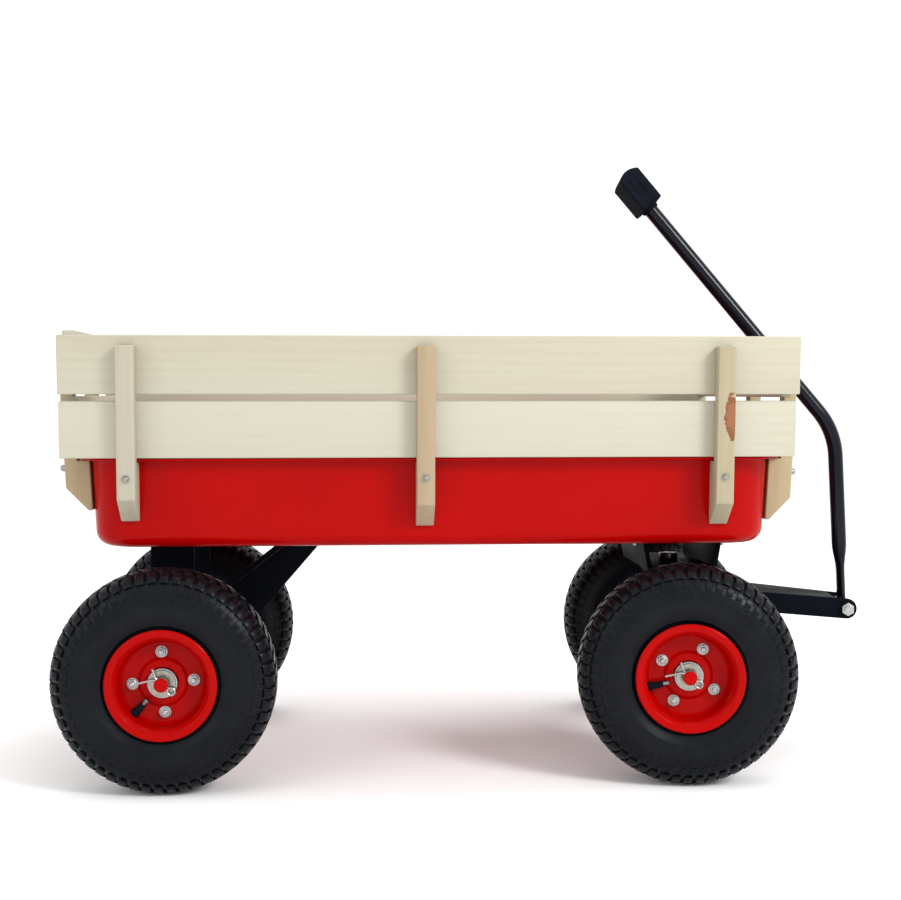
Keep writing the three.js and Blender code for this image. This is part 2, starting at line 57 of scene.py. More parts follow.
TYRE_RADIUS = 130
JOINTS = {joint["name"]: joint for joint in frame["joints"]}
CORNERS = ("rear_right", "rear_left", "front_right", "front_left")


def joint_point(name):
    """Where a joint is at rest, in millimetres."""
    return Vector(JOINTS[name]["pos_m"]) / MM


def steer_angle(corner):
    """How far a wheel's axle stands turned about Z."""
    axis = JOINTS[f"{corner}_wheel_spin"]["axis"]
    return math.atan2(-axis[0], axis[1])


def axle_place(x, angle=0):
    """A place on the ground under an axle's middle, turned about Z."""
    middle = (joint_point("rear_right_wheel_spin") + joint_point("rear_left_wheel_spin")) / 2
    return Matrix.Translation((x, middle.y, middle.z - TYRE_RADIUS)) @ Matrix.Rotation(angle, 4, "Z")


REAR = axle_place(joint_point("rear_right_wheel_spin").x)
FRONT = axle_place(joint_point("steer").x)
WAGON = axle_place((REAR.translation.x + FRONT.translation.x) / 2)
STEERED = axle_place(joint_point("steer").x, steer_angle("front_right"))


def wheel_place(corner):
    """The wheel's own frame: the origin in its middle plane, y outboard."""
    turn = Matrix.Rotation(steer_angle(corner), 4, "Z")
    flip = Matrix.Rotation(math.pi if "right" in corner else 0, 4, "X")
    return Matrix.Translation(joint_point(f"{corner}_wheel_spin")) @ turn @ flip


def aimed(place, point, direction):
    """A place at a point of another place, with its y axis along a direction there."""
    turn = Vector((0, 1, 0)).rotation_difference(Vector(direction)).to_matrix().to_4x4()
    return place @ Matrix.Translation(point) @ turn


def spun(place, degrees):
    """A place turned about its own y axis."""
    return place @ Matrix.Rotation(math.radians(degrees), 4, "Y")


# ---- Shells ----------------------------------------------------------------------------------------
def loft(rings, closed=False):
    """Rings of equal count joined into a skin: a loop if closed, or else with a flat cap at each end."""
    count = len(rings[0])
    points = [point for ring in rings for point in ring]
    faces = []
    for r in range(len(rings) - (0 if closed else 1)):
        low, high = r * count, (r + 1) % len(rings) * count
        for i in range(count):
            j = (i + 1) % count
            faces.append((low + i, low + j, high + j, high + i))
    if not closed:
        last = len(points) - count
        faces.append(tuple(reversed(range(count))))
        faces.append(tuple(range(last, last + count)))
    return points, faces


def combined(shells):
    points, faces = [], []
    for shell_points, shell_faces in shells:
        base = len(points)
        points.extend(shell_points)
        faces.extend(tuple(base + i for i in face) for face in shell_faces)
    return points, faces


def moved(shell, place):
    return [place @ Vector(point) for point in shell[0]], shell[1]


def full_turn(count):
    return [2 * math.pi * k / count for k in range(count)]


def round_y(radius, y, angle):
    """The point at a radius and an angle about the y axis."""
    return (radius * math.cos(angle), y, -radius * math.sin(angle))


def turned(profile, segments=48, ring=False):
    """A profile of (radius, y) turned about y: a ring if its profile is a loop, or else capped."""
    angles = full_turn(segments)
    if ring:
        return loft([[round_y(r, y, a) for r, y in profile] for a in angles], closed=True)
    return loft([[round_y(r, y, a) for a in angles] for r, y in profile])


FILLET_SHARE = 0.45  # the most of an edge that one rounded corner may take


def filleted(profile, radius, steps=3, loop=True):
    """The corners of a flat outline rounded with short curves, no longer than the edges allow."""
    rounded = []
    last = len(profile) - 1
    for i, corner in enumerate(profile):
        if not loop and i in (0, last):
            rounded.append(tuple(corner))
            continue
        p, a, b = (Vector(q) for q in (corner, profile[i - 1], profile[(i + 1) % len(profile)]))
        to_a, to_b = a - p, b - p
        wanted = radius / max(math.tan(to_a.angle(to_b) / 2), 0.01)
        reach = min(wanted, FILLET_SHARE * min(to_a.length, to_b.length))
        start, end = p + to_a.normalized() * reach, p + to_b.normalized() * reach
        for step in range(steps + 1):
            t = step / steps
            rounded.append(tuple((1 - t) ** 2 * start + 2 * t * (1 - t) * p + t * t * end))
    return rounded


def mirrored(profile):
    return [(r, -y) for r, y in reversed(profile)]


def heading(points, i):
    """The direction of a path at its point i."""
    return (points[min(i + 1, len(points) - 1)] - points[max(i - 1, 0)]).normalized()


def swept(path, radius, sides):
    """A round wire or bar along a path of points that lies in one plane."""
    points = [Vector(point) for point in path]
    normal = Vector((0, 0, 0))
    for a, b, c in zip(points, points[1:], points[2:]):
        normal += (b - a).cross(c - b)
    normal = normal.normalized() if normal.length > 1e-6 else Vector((0, 1, 0))
    rings = []
    for i, point in enumerate(points):
        side = normal.cross(heading(points, i)).normalized()
        rings.append([point + radius * (math.cos(a) * side + math.sin(a) * normal) for a in full_turn(sides)])
    return loft(rings)


# ---- Materials -------------------------------------------------------------------------------------
class Surface:
    """A Principled material with short ways to add nodes in the piece's own coordinates, in metres."""

    def __init__(self, name, **sockets):
        self.material = bpy.data.materials.new(name)
        self.material.use_nodes = True
        self.nodes = self.material.node_tree.nodes
        self.links = self.material.node_tree.links
        self.shader = self.nodes["Principled BSDF"]
        self.place = self.nodes.new("ShaderNodeTexCoord").outputs["Object"]
        for socket, value in sockets.items():
            self.shader.inputs[socket.replace("_", " ")].default_value = value

    def add(self, kind, inputs=None, **settings):
        node = self.nodes.new(kind)
        for key, value in settings.items():
            setattr(node, key, value)
        for key, value in (inputs or {}).items():
            if isinstance(value, bpy.types.NodeSocket):
                self.links.new(value, node.inputs[key])
            else:
                node.inputs[key].default_value = value
        return node

    def set(self, socket, value):
        self.links.new(value, self.shader.inputs[socket])

    def noise(self, scale, detail=3, roughness=0.5, vector=None):
        inputs = {"Vector": vector or self.place, "Scale": scale, "Detail": detail, "Roughness": roughness}
        return self.add("ShaderNodeTexNoise", inputs).outputs["Fac"]

    def plus(self, a, b, clamp=False):
        return self.add("ShaderNodeMath", {0: a, 1: b}, operation="ADD", use_clamp=clamp).outputs[0]

    def vector(self, operation, a, b):
        return self.add("ShaderNodeVectorMath", {0: a, 1: b}, operation=operation).outputs["Vector"]

    def remap(self, value, low, high, to_low, to_high):
        inputs = {"Value": value, "From Min": low, "From Max": high, "To Min": to_low, "To Max": to_high}
        return self.add("ShaderNodeMapRange", inputs).outputs["Result"]

    def ramp(self, value, stops):
        node = self.add("ShaderNodeValToRGB", {"Fac": value})
        elements = node.color_ramp.elements
        while len(elements) < len(stops):
            elements.new(0.5)
        for element, (position, colour) in zip(elements, stops):
            element.position = position
            element.color = (*colour, 1)
        return node.outputs["Color"]

    def mixed(self, share, a, b):
        node = self.add("ShaderNodeMix", data_type="RGBA")
        for socket, value in ((node.inputs[0], share), (node.inputs[6], a), (node.inputs[7], b)):
            if isinstance(value, bpy.types.NodeSocket):
                self.links.new(value, socket)
            else:
                socket.default_value = value
        return node.outputs[2]

    def bump(self, height, distance, strength=1):
        node = self.add("ShaderNodeBump", {"Height": height, "Distance": distance, "Strength": strength})
        self.set("Normal", node.outputs["Normal"])


def enamel(name, colour, roughness, specular, coat):
    """Sprayed gloss paint: slight orange peel, and a finish that varies a little over the sheet."""
    s = Surface(name, IOR=1.5, Specular_IOR_Level=specular, Coat_Weight=coat, Coat_Roughness=0.06)
    shade = [tuple(c * k for c in colour) for k in (0.93, 1.05)]
    s.set("Base Color", s.ramp(s.noise(6, 2), [(0.3, shade[0]), (0.7, shade[1])]))
    s.set("Roughness", s.remap(s.noise(22, 4), 0.3, 0.7, roughness - 0.04, roughness + 0.05))
    s.bump(s.noise(420, 2), 0.00004)
    return s.material


def plated(name, colour):
    """Bright zinc plate with a faint mottle and fine scratches."""
    s = Surface(name, Metallic=1.0)
    shade = [tuple(c * k for c in colour) for k in (0.80, 1.08)]
    s.set("Base Color", s.ramp(s.noise(180, 3), [(0.35, shade[0]), (0.7, shade[1])]))
    s.set("Roughness", s.remap(s.noise(260, 4), 0.3, 0.7, 0.24, 0.42))
    s.bump(s.noise(700, 3), 0.00003)
    return s.material


def rubber(name, colour):
    """Moulded tyre rubber: dull, finely pitted, with a little dust in its low sheen."""
    s = Surface(name, IOR=1.5, Specular_IOR_Level=0.12)
    dusty = tuple(c * 1.5 + 0.001 for c in colour)
    s.set("Base Color", s.ramp(s.noise(35, 5, 0.6), [(0.35, colour), (0.75, dusty)]))
    s.set("Roughness", s.remap(s.noise(90, 4), 0.3, 0.7, 0.28, 0.42))
    s.bump(s.noise(1100, 3), 0.00006)
    return s.material


def plastic(name, colour):
    """Moulded plastic with a fine leathery grain."""
    s = Surface(name, IOR=1.46, Specular_IOR_Level=0.006)
    grain = s.add("ShaderNodeTexVoronoi", {"Vector": s.place, "Scale": 900}, feature="SMOOTH_F1")
    shade = [tuple(c * k for c in colour) for k in (0.85, 1.2)]
    s.set("Base Color", s.ramp(s.noise(60, 3), [(0.3, shade[0]), (0.7, shade[1])]))
    s.set("Roughness", s.remap(s.noise(120, 3), 0.3, 0.7, 0.62, 0.78))
    s.bump(grain.outputs["Distance"], 0.00008)
    return s.material


GRAIN_STRETCH = 0.045
GROWTH_BANDS = {"Scale": 26, "Distortion": 5, "Detail": 3, "Detail Scale": 0.9, "Detail Roughness": 0.55}
BOARD_SHIFT = (0.37, 0.61, 0.23)  # how far one board's figure lies from the next one's
KNOT_SQUASH = 0.3
KNOT_RIM = (0.17, 0.055, 0.018, 1)
KNOT_HEART = (0.25, 0.105, 0.05, 1)


def pine(name, along, across, seed, colour, dark, knots=()):
    """Sanded pine, its grain along one axis (0 x, 1 y, 2 z) and its growth bands spaced along another."""
    s = Surface(name, IOR=1.45, Specular_IOR_Level=0.2)
    stretch = [GRAIN_STRETCH if axis == along else 1.0 for axis in range(3)]
    shift = [step * seed for step in BOARD_SHIFT]
    mapping = s.add("ShaderNodeMapping", {"Vector": s.place, "Scale": stretch, "Location": shift})
    fibre = mapping.outputs["Vector"]
    wave = s.add("ShaderNodeTexWave", {"Vector": fibre, **GROWTH_BANDS}, bands_direction="XYZ"[across])
    broad = s.noise(9, 2, vector=fibre)
    streaks = s.noise(240, 5, 0.65, vector=fibre)
    share = s.plus(s.remap(wave.outputs["Fac"], 0.3, 1, 0, 0.11), s.remap(broad, 0.35, 0.7, -0.1, 0.4))
    share = s.plus(share, s.remap(streaks, 0.45, 0.75, 0, 0.2), clamp=True)
    tone = s.mixed(share, (*colour, 1), (*dark, 1))
    for centre, size in knots:
        tone = knotted(s, tone, centre, size, along)
    s.set("Base Color", tone)
    s.set("Roughness", s.remap(streaks, 0.3, 0.7, 0.52, 0.7))
    s.bump(streaks, 0.0002, 0.6)
    return s.material


def knotted(s, tone, centre, size, along):
    """A brown knot with a dark rim, longer along the grain; centre and size are in metres."""
    stretch = [KNOT_SQUASH / size if axis == along else 1.0 / size for axis in range(3)]
    scaled = s.vector("MULTIPLY", s.vector("SUBTRACT", s.place, centre), stretch)
    length = s.add("ShaderNodeVectorMath", {0: scaled}, operation="LENGTH").outputs["Value"]
    wobble = s.plus(length, s.remap(s.noise(160, 3), 0.3, 0.7, -0.2, 0.2))
    tone = s.mixed(s.remap(wobble, 1.08, 0.96, 0, 0.95), tone, KNOT_RIM)
    return s.mixed(s.remap(wobble, 0.9, 0.72, 0, 0.9), tone, KNOT_HEART)


RED = enamel("red_enamel", (0.335, 0.0008, 0.0004), 0.17, 0.045, 0.03)
TUBE_BLACK = enamel("tube_enamel", (0.0035, 0.0045, 0.0085), 0.16, 0.16, 0.05)
FRAME_BLACK = enamel("frame_enamel", (0.0040, 0.0050, 0.0078), 0.42, 0.012, 0.0)
ZINC = plated("zinc_plate", (0.40, 0.40, 0.395))
DULL_ZINC = plated("dull_zinc_plate", (0.33, 0.31, 0.27))
RUBBER = rubber("tyre_rubber", (0.0022, 0.0029, 0.0044))
PLASTIC = plastic("grip_plastic", (0.0075, 0.0088, 0.0130))
VALVE_METAL = plated("valve_metal", (0.22, 0.22, 0.23))

# ---- Making pieces ---------------------------------------------------------------------------------
SMOOTH_ANGLE = math.radians(32)  # a finished piece is shaded smooth below this
SHARP_ANGLE = math.radians(28)  # a CAD edge above this is rounded
FLAT_ANGLE = math.radians(1)  # CAD faces within this of each other are merged
MERGE_DISTANCE = 0.02
BEVEL_SEGMENTS = 3


def placed(name, bm, material, body, replaces):
    """A piece made from a finished bmesh, riding on a CAD body."""
    bmesh.ops.recalc_face_normals(bm, faces=bm.faces)
    mesh = bpy.data.meshes.new(name)
    bm.to_mesh(mesh)
    bm.free()
    mesh.materials.append(material)
    mesh.shade_smooth()
    mesh.set_sharp_from_angle(angle=SMOOTH_ANGLE)
    made = bpy.data.objects.new(name, mesh)
    bpy.context.scene.collection.objects.link(made)
    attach(made, body)
    if replaces:
        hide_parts(*replaces)


def piece(name, shell, place, material, body, replaces=()):
    """A new piece from a shell in millimetres."""
    draft = bpy.data.meshes.new(f"{name}_draft")
    draft.from_pydata([place @ Vector(point) * MM for point in shell[0]], [], shell[1])
    bm = bmesh.new()
    bm.from_mesh(draft)
    bpy.data.meshes.remove(draft)
    placed(name, bm, material, body, replaces)


def eased(node, suffix, bevel, material, body, reshape=None):
    """A piece that stands for a CAD node: its own shape, with every sharp edge rounded by bevel mm."""
    bm = bmesh.new()
    bm.from_mesh(frame["nodes"][node].data)
    if reshape:
        reshape(bm)
    bmesh.ops.remove_doubles(bm, verts=bm.verts, dist=MERGE_DISTANCE * MM)
    bmesh.ops.dissolve_limit(bm, angle_limit=FLAT_ANGLE, verts=bm.verts, edges=bm.edges)
    edges = [e for e in bm.edges if len(e.link_faces) == 2 and e.calc_face_angle() > SHARP_ANGLE]
    bmesh.ops.bevel(bm, geom=edges, offset=bevel * MM, segments=BEVEL_SEGMENTS, profile=0.5,
                    affect="EDGES", clamp_overlap=True)
    placed(f"{node}_{suffix}", bm, material, body, [node])


# ---- Fasteners -------------------------------------------------------------------------------------
def thin_washer(radius, low, high, edge):
    """A disc from low to high along y, with its rims rounded by edge mm, under a nut or a screw head."""
    profile = [(0.5, low), (radius, low), (radius, high), (0.5, high)]
    return turned(filleted(profile, edge, 2, loop=False), 32)


def hex_nut(radius, height, bolt_radius, bolt_end):
    """A chamfered hexagon standing on y 0, with a domed bolt end through it."""
    chamfer = 0.12 * radius
    nut = [(radius - chamfer, 0), (radius, chamfer * 0.7), (radius, height - chamfer * 0.7),
           (radius - chamfer, height)]
    tip = height + bolt_end
    bolt = [(bolt_radius, 0), (bolt_radius, tip - 0.8), (bolt_radius * 0.72, tip)]
    return combined([turned(nut, 6), turned(bolt, 20), thin_washer(radius * 1.12, -0.2, 1.2, 0.4)])


# (share of the radius, share of the height) up a screw head.
DOME_SHAPE = [(1, 0), (1, 0.35), (0.88, 0.72), (0.62, 0.94), (0.3, 1)]


def pan_head(radius, height):
    """A domed screw head on a thin washer, standing on y 0."""
    dome = [(radius * across, height * up) for across, up in DOME_SHAPE]
    head = turned(filleted(dome, 0.6, 2, loop=False), 28)
    return combined([head, thin_washer(radius * 1.45, -0.3, 0.8, 0.3)])


# ---- Wheels ----------------------------------------------------------------------------------------
VALVE_ANGLE = {"rear_right": 228, "rear_left": 70, "front_right": 196, "front_left": 310}
HUB_RADIUS = 17
HUB_SPAN = (-36, 24)
GAP = 0.3
AXLE_RADIUS = 7.75
BORE = AXLE_RADIUS + GAP
RIM_BORE = HUB_RADIUS + GAP
WASHER_RADIUS = 15.4
WASHER_THICKNESS = 2.2

# (radius, y) of the carcass, from the bead out to the crown, and inside from the crown back to the bead.
CARCASS_OUTSIDE = [
    (53.4, 30.5), (57, 32.2), (62, 33), (66, 34.6), (68.2, 36.6), (70, 37), (73, 38.4), (78, 40.8),
    (84, 42.4), (90, 42.9), (96, 42.5), (102, 41), (104.5, 40.5), (106, 39.8), (111, 37.6), (116, 33.8),
    (120.4, 28.8), (124.2, 20.5), (126.2, 11), (126.8, 0),
]
CARCASS_INSIDE = [(120.5, 0), (119, 14), (110, 30), (88, 35.5), (66, 29), (54, 25)]

# (y, radius) of a tread block's top, and of its foot inside the carcass, at stations across the tyre.
TREAD_COUNT = 54
FLANK_STATIONS = [
    ((40.6, 105.6), (37, 104.6)), ((40.4, 108.2), (35.5, 106.5)), ((37.6, 113.6), (33, 110.5)),
    ((36.2, 115.2), (32.5, 112)),
]
SHOULDER_STATIONS = [
    ((35.6, 117.4), (31, 114)), ((33.8, 120.4), (29.5, 116)), ((29.6, 124.4), (26, 119)),
    ((24.2, 127), (22, 121)), ((19, 128.4), (18.5, 122)),
]
CENTRE_STATIONS = [((15.6, 129), (15.6, 122)), ((9, 129.7), (9, 123)), ((2, 130), (2, 123.5))]
FLANK_HALF_LENGTH = 4.6
SHOULDER_HALF_LENGTH = 5.2
CENTRE_HALF_LENGTH = 5.1
CENTRE_SLANT = 7
BLOCK_DRAFT = 0.9  # how far a block's foot stands out past its top
BLOCK_EASE = 0.8
BLOCK_END_EASE = 1.7

# (radius, y of its top) along a sidewall rib, and (offset, depth below that top) of its section.
SIDE_RIB_STATIONS = [(92, 42.4), (94, 43.3), (100, 42.0), (103, 40.6)]
SIDE_RIB_SECTION = [(-0.8, 2), (-0.4, 0), (0.4, 0), (0.8, 2)]
CARCASS_SEGMENTS = 108


def tread_block(stations, middle, half_length, slant, side):
    """One rubber block: its foot is wider than its top, and its top edges are eased."""
    rings = []
    for i, ((top_y, top_r), (foot_y, foot_r)) in enumerate(stations):
        lean = slant * (i / (len(stations) - 1) - 0.5)
        ease = BLOCK_EASE if 0 < i < len(stations) - 1 else BLOCK_END_EASE
        eased_r = top_r - BLOCK_DRAFT
        foot = half_length + BLOCK_DRAFT
        flat = half_length - ease
        section = [
            (-foot, foot_y, foot_r), (-half_length, top_y, eased_r), (-flat, top_y, top_r),
            (flat, top_y, top_r), (half_length, top_y, eased_r), (foot, foot_y, foot_r),
        ]
        angles = [middle + (lean + offset) / TYRE_RADIUS for offset, _, _ in section]
        rings.append([round_y(r, side * y, a) for a, (_, y, r) in zip(angles, section)])
    return loft(rings)


def side_rib(middle, side):
    """A faint raised bar on the sidewall, along a radius."""
    rings = []
    for radius, top in SIDE_RIB_STATIONS:
        section = [(middle + offset / radius, side * (top - depth)) for offset, depth in SIDE_RIB_SECTION]
        rings.append([round_y(radius, y, angle) for angle, y in section])
    return loft(rings)


def tyre_shell():
    """The hollow carcass with its tread blocks and sidewall ribs."""
    outside = [*CARCASS_OUTSIDE, *mirrored(CARCASS_OUTSIDE)[1:]]
    inside = [*mirrored(CARCASS_INSIDE[1:]), *CARCASS_INSIDE]
    ring = filleted(outside + inside, 1.2, 2)
    shells = [turned(ring, CARCASS_SEGMENTS, ring=True)]
    pitch = 2 * math.pi / TREAD_COUNT
    for k in range(TREAD_COUNT):
        for side, phase in ((1, 0), (-1, 0.5)):
            middle = (k + phase) * pitch
            between = middle + pitch / 2
            shells.append(tread_block(FLANK_STATIONS, between, FLANK_HALF_LENGTH, 0, side))
            shells.append(tread_block(SHOULDER_STATIONS, middle, SHOULDER_HALF_LENGTH, 0, side))
            shells.append(tread_block(CENTRE_STATIONS, between, CENTRE_HALF_LENGTH, CENTRE_SLANT, side))
            shells.append(side_rib(middle, side))
    return combined(shells)


RIM_OUTER_PROFILE = [
    (RIM_BORE, 12.15), (48, 12.15), (51, 15.5), (53, 34), (56.5, 38), (63, 39), (64.3, 40.4), (62.5, 42),
    (55.5, 40.6), (51, 35.2), (49, 18), (46, 14.15), (29, 14.15), (25.5, 17.5), (20.5, 18.4),
    (RIM_BORE, 18.4),
]
RIM_INNER_PROFILE = [
    (RIM_BORE, 9.85), (46, 9.85), (50.5, 5.5), (51, -35.2), (55.5, -40.6), (62.5, -42), (64.3, -40.4),
    (63, -39), (56.5, -38), (53, -34), (53, 7.5), (48.5, 11.85), (RIM_BORE, 11.85),
]
DISC_FACES = {"outer": 14.2, "inner": 9.8}
NUT_CIRCLE = 35
RIM_NUT = (6.2, 5, 3.4, 3.2)
RIM_BOLT_HEAD = (6.2, 4.5, 1, -1.5)  # its "bolt" stays hidden inside it
VALVE_FROM = Vector((46, 19.5, 0))
VALVE_TO = Vector((24, 27.5, 0))


def rim_nuts():
    """Four nuts on the outboard disc, an eighth of a turn off the valve, and bolt heads inboard."""
    shells = []
    for quarter in range(4):
        place = spun(Matrix.Identity(4), 45 + 90 * quarter)
        outer = aimed(place, (NUT_CIRCLE, DISC_FACES["outer"], 0), (0, 1, 0))
        inner = aimed(place, (NUT_CIRCLE, DISC_FACES["inner"], 0), (0, -1, 0))
        shells.append(moved(hex_nut(*RIM_NUT), outer))
        shells.append(moved(hex_nut(*RIM_BOLT_HEAD), inner))
    return combined(shells)


def valve_shells():
    """A rubber stem with a moulded foot, and its metal cap; both stand on y 0."""
    stem = [
        (5.6, -2), (5.6, 0.8), (4.3, 2.6), (4.1, 11), (3.5, 12), (3.5, 13), (3.9, 14), (3.9, 15.5),
        (3.2, 16.4),
    ]
    cap = [(3.0, 15.8), (3.0, 21.6), (2.3, 23.2), (1.2, 23.4)]
    return turned(filleted(stem, 0.7, 2, loop=False), 28), turned(filleted(cap, 0.5, 2, loop=False), 28)


def hub_shell():
    """The hub tube, with a bearing's outer ring, seal and inner ring showing at each end."""
    low, high = HUB_SPAN
    outer_end = [
        (HUB_RADIUS, high), (14.6, high), (14.6, high - 1.2), (10.4, high - 1.2), (10.4, high - 0.2),
        (BORE, high - 0.2),
    ]
    inner_end = [(r, low + high - y) for r, y in reversed(outer_end)]
    return turned(filleted([*outer_end, *inner_end], 0.5, 2), 64, ring=True)


def washer_shell():
    """The axle washer, just outboard of the hub."""
    inner = HUB_SPAN[1] + GAP
    outer = inner + WASHER_THICKNESS
    profile = [(BORE, inner), (WASHER_RADIUS, inner), (WASHER_RADIUS, outer), (BORE, outer)]
    return turned(filleted(profile, 0.6, 3), ring=True)


COTTER_Y = 31
COTTER_WIRE = 1.25
COTTER_EYE = 4.2
COTTER_EYE_X = AXLE_RADIUS + 6
COTTER_UPPER_LEG = [(-19, -7.5), (-14.5, -4.6), (-10.6, -1.9), (-9, -1.3)]
COTTER_LOWER_LEG = [(-9, 1.3), (-10.8, 2.2), (-15, 7), (-23, 17)]
COTTER_ANGLE = -38


def cotter_shell():
    """A split pin through the axle along x: its eye outside at +x, its two legs bent apart at -x."""
    turn = [math.radians(200 + 320 * k / 14) for k in range(15)]
    eye = [(COTTER_EYE_X + COTTER_EYE * math.cos(a), -COTTER_EYE * math.sin(a)) for a in turn]
    path = [(x, COTTER_Y, z) for x, z in (*COTTER_UPPER_LEG, *eye, *COTTER_LOWER_LEG)]
    return swept(path, COTTER_WIRE, 10)


# ---- Axles and whole wheels ------------------------------------------------------------------------
AXLE_END = 37
TRACK = 416
COLLAR_RADIUS = 14
BRACKET_HALF_WIDTH = 100


def axle_cap():
    """The painted end of the axle, outside the washer and the split pin."""
    cap = [(8.1, AXLE_END - 2.6), (8.3, AXLE_END - 0.4), (7.4, AXLE_END + 0.9), (4, AXLE_END + 1.4)]
    return turned(filleted(cap, 0.7, 3, loop=False), 40)


def axle_shell():
    """The whole axle, with a collar between each bracket leg and wheel."""
    collar_in = BRACKET_HALF_WIDTH + GAP
    collar_out = TRACK / 2 + HUB_SPAN[0] - GAP
    end = TRACK / 2 + AXLE_END
    half = [
        (AXLE_RADIUS, collar_in), (COLLAR_RADIUS, collar_in), (COLLAR_RADIUS, collar_out),
        (AXLE_RADIUS, collar_out), (AXLE_RADIUS, end - 1), (AXLE_RADIUS - 1, end),
    ]
    return turned(filleted([*mirrored(half), *half], 0.8, 2, loop=False), 48)


def build_wheel(corner):
    body = f"{corner}_wheel"
    carrier = "steering" if "front" in corner else "wagon_body"
    still = wheel_place(corner)  # the place of what doesn't spin
    place = spun(still, VALVE_ANGLE[corner])
    piece(f"{corner}_tyre_tread", tyre_shell(), place, RUBBER, body, [f"{corner}_tyre"])
    for half, profile in (("outer", RIM_OUTER_PROFILE), ("inner", RIM_INNER_PROFILE)):
        shell = turned(filleted(profile, 2.2, 4), 120, ring=True)
        piece(f"{corner}_rim_{half}_pressing", shell, place, RED, body, [f"{corner}_rim_{half}"])
    piece(f"{corner}_hub_bearings", hub_shell(), place, ZINC, body, [f"{corner}_hub"])
    piece(f"{corner}_rim_nuts", rim_nuts(), place, ZINC, body)
    stem, cap = valve_shells()
    valve = aimed(place, VALVE_FROM, VALVE_TO - VALVE_FROM)
    piece(f"{corner}_valve_rubber", stem, valve, PLASTIC, body, [f"{corner}_valve_stem"])
    piece(f"{corner}_valve_cap", cap, valve, VALVE_METAL, body)
    washer = [f"{corner}_axle_washer"]
    piece(f"{corner}_washer_plated", washer_shell(), still, DULL_ZINC, carrier, washer)
    piece(f"{corner}_cotter_pin", cotter_shell(), spun(still, COTTER_ANGLE), ZINC, carrier)
    piece(f"{corner}_axle_cap", axle_cap(), still, RED, carrier)


# ---- Tray ------------------------------------------------------------------------------------------
TRAY_X = -2
TRAY_HALF_LENGTH = 407
TRAY_HALF_WIDTH = 204
TRAY_BOTTOM_Z = 281.5
FLANGE_TOP_Z = 386.8
FLANGE_WIDTH = 14.5
FLANGE_THICKNESS = 3.2
TRAY_SHEET = 2
TRAY_CORNER = 58
TRAY_BOTTOM_RADIUS = 18
LEAN = math.radians(3)
BRACKET_FLANGE = 5.5
FLOOR_BOLTS = [(FRONT, 55.5, 62), (FRONT, -55.5, 62), (REAR, -17, 58), (REAR, 10, 58)]
FLOOR_HEAD = (7.5, 3.2)
FLOOR_NUT = (7.2, 5.5, 3.6, 4)


def tray_ring(inset, z, corner_steps=14):
    """The tray's outline with rounded corners, drawn in by inset, at a height."""
    radius = TRAY_CORNER - inset
    centre_x, centre_y = TRAY_HALF_LENGTH - TRAY_CORNER, TRAY_HALF_WIDTH - TRAY_CORNER
    points = []
    for corner, (sx, sy) in enumerate(((1, 1), (-1, 1), (-1, -1), (1, -1))):
        for step in range(corner_steps + 1):
            a = (corner + step / corner_steps) * math.pi / 2
            x = TRAY_X + sx * centre_x + radius * math.cos(a)
            points.append((x, sy * centre_y + radius * math.sin(a), z))
    return points


def wall_line(offset, steps=12):
    """(inset, z) of the sheet's surface from the floor up to the flange, offset inside the outer wall."""
    radius = TRAY_BOTTOM_RADIUS - offset
    wall_top = FLANGE_TOP_Z - FLANGE_THICKNESS
    bend_top = TRAY_BOTTOM_Z + TRAY_BOTTOM_RADIUS
    bend_inset = (wall_top - bend_top) * math.tan(LEAN)
    line = []
    for step in range(steps + 1):
        a = step / steps * math.pi / 2
        inset = bend_inset + offset + radius * (1 - math.sin(a))
        line.append((inset, TRAY_BOTTOM_Z + offset + radius * (1 - math.cos(a))))
    return [*line, (offset, FLANGE_TOP_Z if offset else wall_top)]


def tray_shell():
    """The pressed tray: an outer and an inner skin, joined round its flange and closed at the floor."""
    outer = wall_line(0)
    inner = wall_line(TRAY_SHEET)
    edge = [(-FLANGE_WIDTH, FLANGE_TOP_Z - FLANGE_THICKNESS), (-FLANGE_WIDTH, FLANGE_TOP_Z)]
    corners = filleted([outer[-2], outer[-1], *edge, inner[-1], inner[-2]], 2.4, 4, loop=False)
    line = [*outer[:-2], *corners, *reversed(inner[:-2])]
    return loft([tray_ring(inset, z) for inset, z in line])


def floor_fasteners():
    """Round bolt heads on the floor and nuts under the brackets' flanges."""
    shells = []
    for place, x, y in FLOOR_BOLTS:
        for side in (1, -1):
            head = aimed(place, (x, side * y, TRAY_BOTTOM_Z + TRAY_SHEET), (0, 0, 1))
            shells.append(moved(pan_head(*FLOOR_HEAD), head))
            nut = aimed(place, (x, side * y, TRAY_BOTTOM_Z - BRACKET_FLANGE), (0, 0, -1))
            shells.append(moved(hex_nut(*FLOOR_NUT), nut))
    return combined(shells)


# ---- Timber rails ----------------------------------------------------------------------------------
SLAT_COLOUR = (0.435, 0.42, 0.335)
SLAT_DARK = (0.375, 0.335, 0.235)
STAKE_COLOURS = {
    "right_stake_rear": (0.37, 0.345, 0.27), "right_stake_middle": (0.35, 0.27, 0.18),
    "right_stake_front": (0.35, 0.31, 0.215), "other": (0.37, 0.29, 0.18),
}
STAKE_DARKEN = (0.80, 0.70, 0.55)
KNOT_Z = 433
KNOT_INSET = 5
KNOT_RADIUS = 8.5
STAKE_DEPTH = {"left": 35, "right": 35, "front": 30, "rear": 30}
STAKE_HEAD_Z = {"left": 373, "right": 364, "front": 366, "rear": 373}
STAKE_HEAD_SIZE = {"left": (3.3, 3.4), "right": (3.3, 3.4), "front": (4, 6.4), "rear": (4, 6.4)}
STAKE_FOOT_LIFT = {"right_stake_rear": 7, "left": 0, "right": 0, "front": 5, "rear": 11}
STAKE_CUT_HEIGHT = 35
